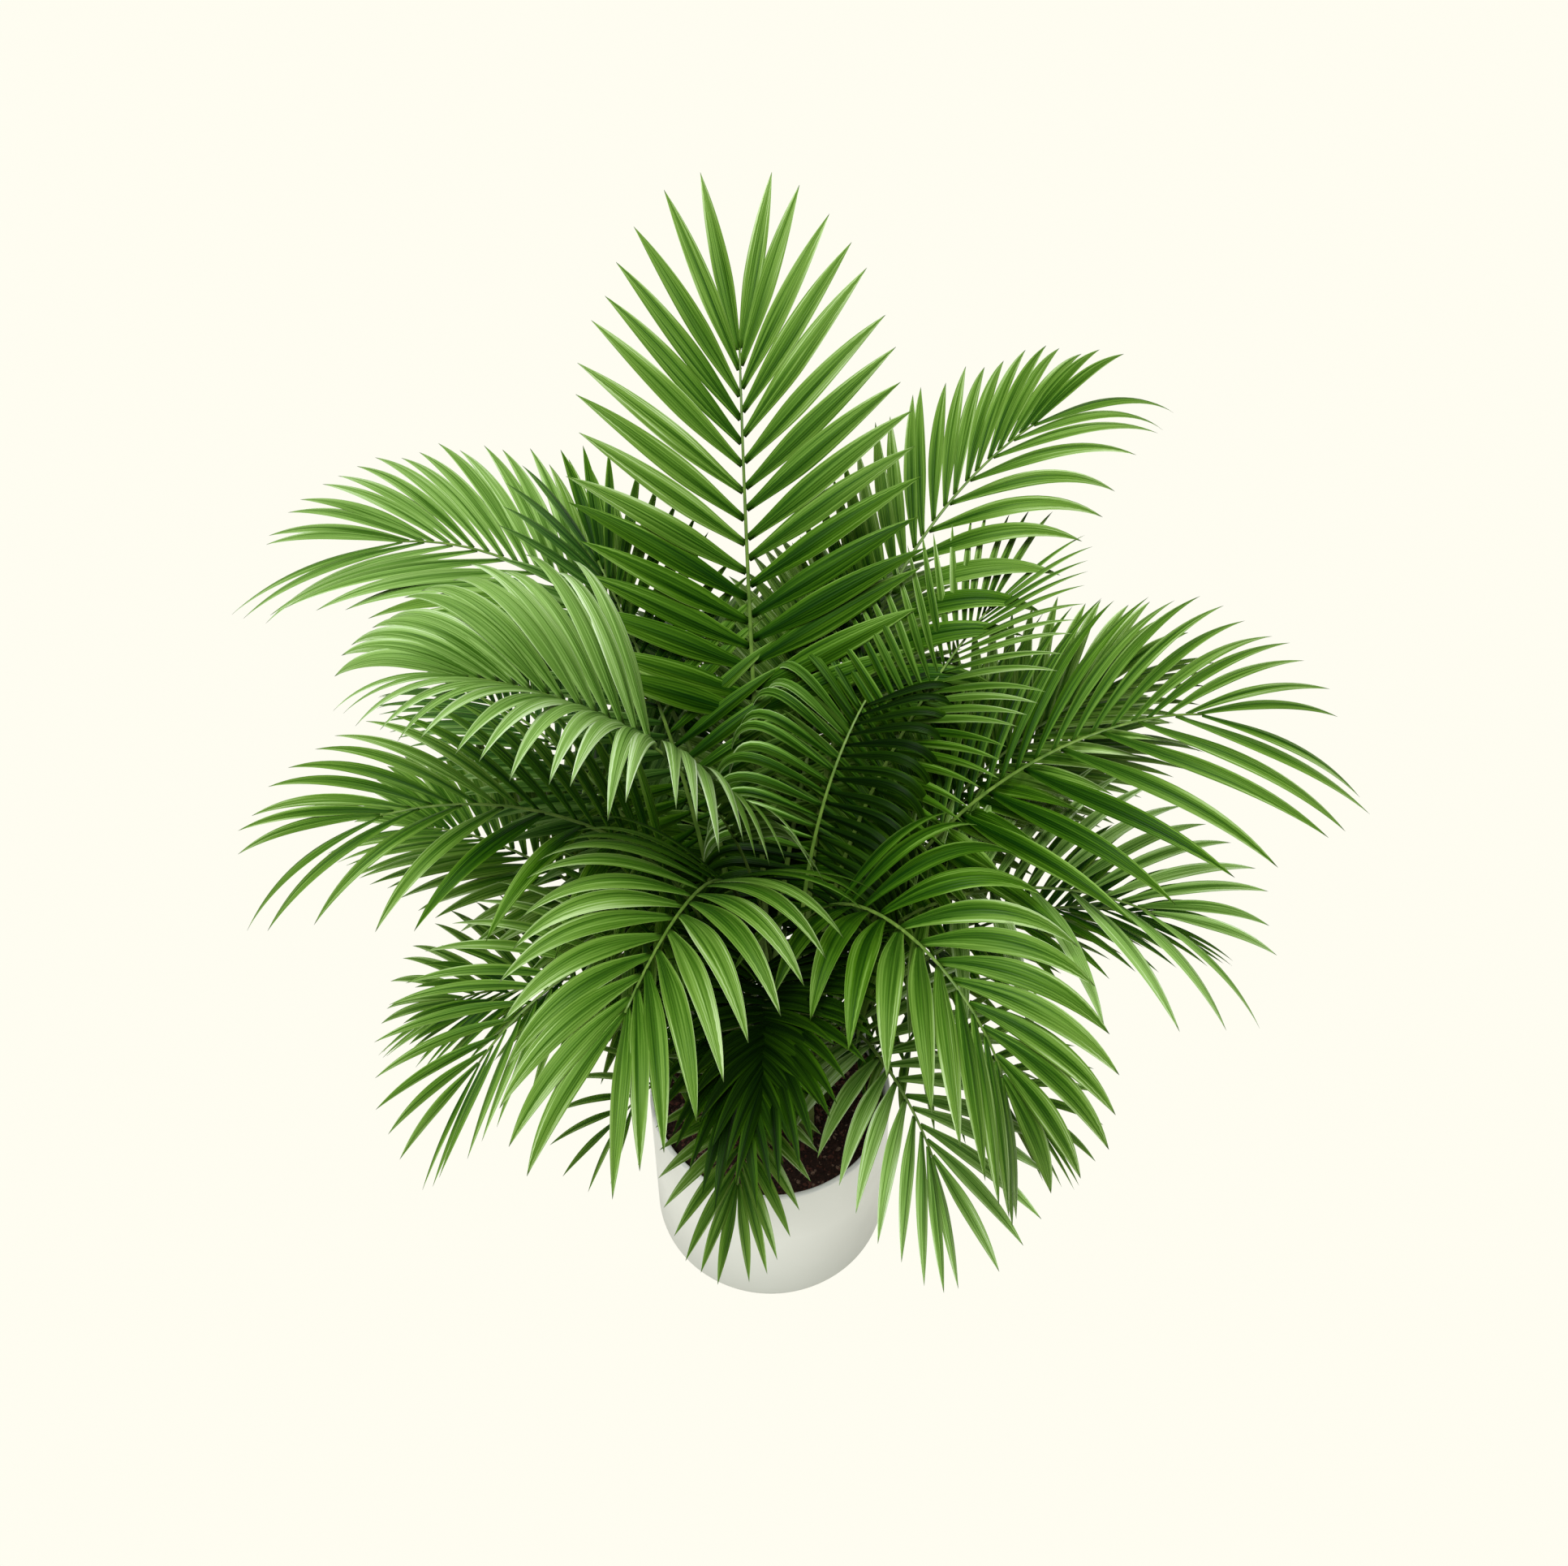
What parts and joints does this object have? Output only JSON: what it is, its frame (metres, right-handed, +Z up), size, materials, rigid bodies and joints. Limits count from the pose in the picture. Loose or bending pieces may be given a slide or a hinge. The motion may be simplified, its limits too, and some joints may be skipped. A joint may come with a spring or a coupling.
{
  "type": "potted areca palm",
  "caption": "Clump of short green canes in a plain white cylinder pot, with long arching feather-shaped fronds spreading on all sides.",
  "frame": {"origin": "centre of the pot's flat underside, on the ground", "axes": "+Z up, +X to the right in the picture, +Y away from the viewer"},
  "size_m": [1.2668, 1.0631, 1.1985],
  "materials": {
    "pot": "smooth satin glaze",
    "soil": "dark moist potting mix",
    "cane": "smooth green canes with leaf sheaths",
    "leaf": "thin ribbed leaflets, semi-gloss"
  },
  "bodies": {
    "root": {"pot": "pot", "soil": "soil", "cane_back": "cane", "cane_back_left": "cane", "cane_back_right": "cane", "cane_front": "cane", "cane_front_left": "cane", "cane_front_right": "cane", "cane_left": "cane", "cane_middle_left": "cane", "cane_middle_right": "cane", "cane_right": "cane", "frond_back": "leaf", "frond_back_left": "leaf", "frond_back_left_low": "leaf", "frond_back_low": "leaf", "frond_back_right": "leaf", "frond_centre_arch": "leaf", "frond_centre_low": "leaf", "frond_front_inner": "leaf", "frond_front_left": "leaf", "frond_front_right": "leaf", "frond_left": "leaf", "frond_left_arch": "leaf", "frond_left_back_low": "leaf", "frond_left_front_low": "leaf", "frond_left_inner": "leaf", "frond_left_lower": "leaf", "frond_left_shoulder": "leaf", "frond_left_side_low": "leaf", "frond_left_upper": "leaf", "frond_pot_front": "leaf", "frond_pot_right": "leaf", "frond_right": "leaf", "frond_right_back": "leaf", "frond_right_back_low": "leaf", "frond_right_front_low": "leaf", "frond_right_inner": "leaf", "frond_right_lower": "leaf", "frond_right_shoulder": "leaf", "frond_right_side_low": "leaf", "frond_right_upper": "leaf", "frond_top": "leaf"}
  },
  "joints": []
}
